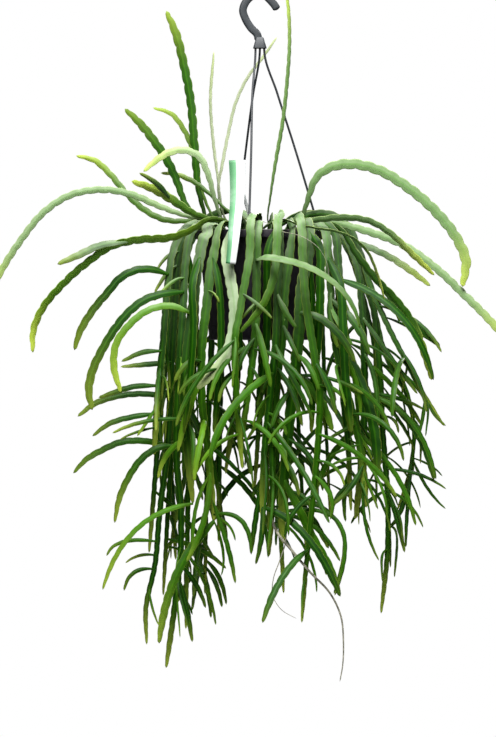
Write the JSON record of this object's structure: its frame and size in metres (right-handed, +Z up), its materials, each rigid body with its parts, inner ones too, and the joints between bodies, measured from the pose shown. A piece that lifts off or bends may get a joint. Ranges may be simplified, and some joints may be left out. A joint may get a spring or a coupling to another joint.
{
  "type": "potted lepismium bolivianum in a hanging pot",
  "caption": "Hanging pot with a hook and strands, filled with soil and a trailing leafless cactus whose flat notched stems arch up and cascade far below the pot.",
  "frame": {"origin": "inside top of the hook, where the rail or nail that holds the pot up touches it", "axes": "+Z up, the label hangs at the front towards -Y, +X to the right seen from the front"},
  "size_m": [0.6008, 0.2978, 0.7802],
  "materials": {
    "pot_plastic": "satin black nursery plastic",
    "soil": "dry, crumbly peat and bark",
    "hanger_plastic": "satin slate grey plastic",
    "label_plastic": "smooth, white with one green band",
    "stem_young": "fresh green, slightly waxy, lighter at the tip",
    "stem_grown": "waxy green with a greyish bloom, yellow green tips"
  },
  "bodies": {
    "root": {"pot": "pot_plastic", "soil": "soil", "hook": "hanger_plastic", "strand_right": "hanger_plastic", "strand_back": "hanger_plastic", "strand_front": "hanger_plastic", "label": "label_plastic", "upright_1": "stem_young", "upright_2": "stem_young", "upright_3": "stem_young", "upright_4": "stem_young", "upright_5": "stem_young", "upright_6": "stem_young", "arch_left_1": "stem_grown", "arch_left_2": "stem_grown", "arch_left_3": "stem_grown", "arch_left_4": "stem_grown", "arch_left_5": "stem_grown", "arch_left_6": "stem_grown", "arch_right_1": "stem_grown", "arch_right_2": "stem_grown", "arch_right_3": "stem_grown", "arch_right_4": "stem_grown", "arch_right_5": "stem_grown", "arch_right_6": "stem_grown", "trail_left_1": "stem_grown", "trail_left_2": "stem_grown", "trail_left_3": "stem_grown", "trail_left_4": "stem_grown", "trail_left_5": "stem_grown", "trail_front_1": "stem_grown", "trail_front_2": "stem_grown", "trail_front_3": "stem_grown", "trail_front_4": "stem_grown", "trail_front_5": "stem_grown", "trail_right_1": "stem_grown", "trail_right_2": "stem_grown", "trail_right_3": "stem_grown", "trail_right_4": "stem_grown", "trail_right_5": "stem_grown", "trail_back_1": "stem_grown", "trail_back_2": "stem_grown", "trail_back_3": "stem_grown", "trail_back_4": "stem_grown", "trail_back_5": "stem_grown", "trail_back_6": "stem_grown", "trail_back_7": "stem_grown", "trail_back_8": "stem_grown", "trail_back_9": "stem_grown", "outer_1": "stem_grown", "outer_2": "stem_grown", "outer_3": "stem_grown", "outer_4": "stem_grown", "outer_5": "stem_grown", "outer_6": "stem_grown", "outer_7": "stem_grown", "outer_8": "stem_grown", "outer_9": "stem_grown"}
  },
  "joints": []
}
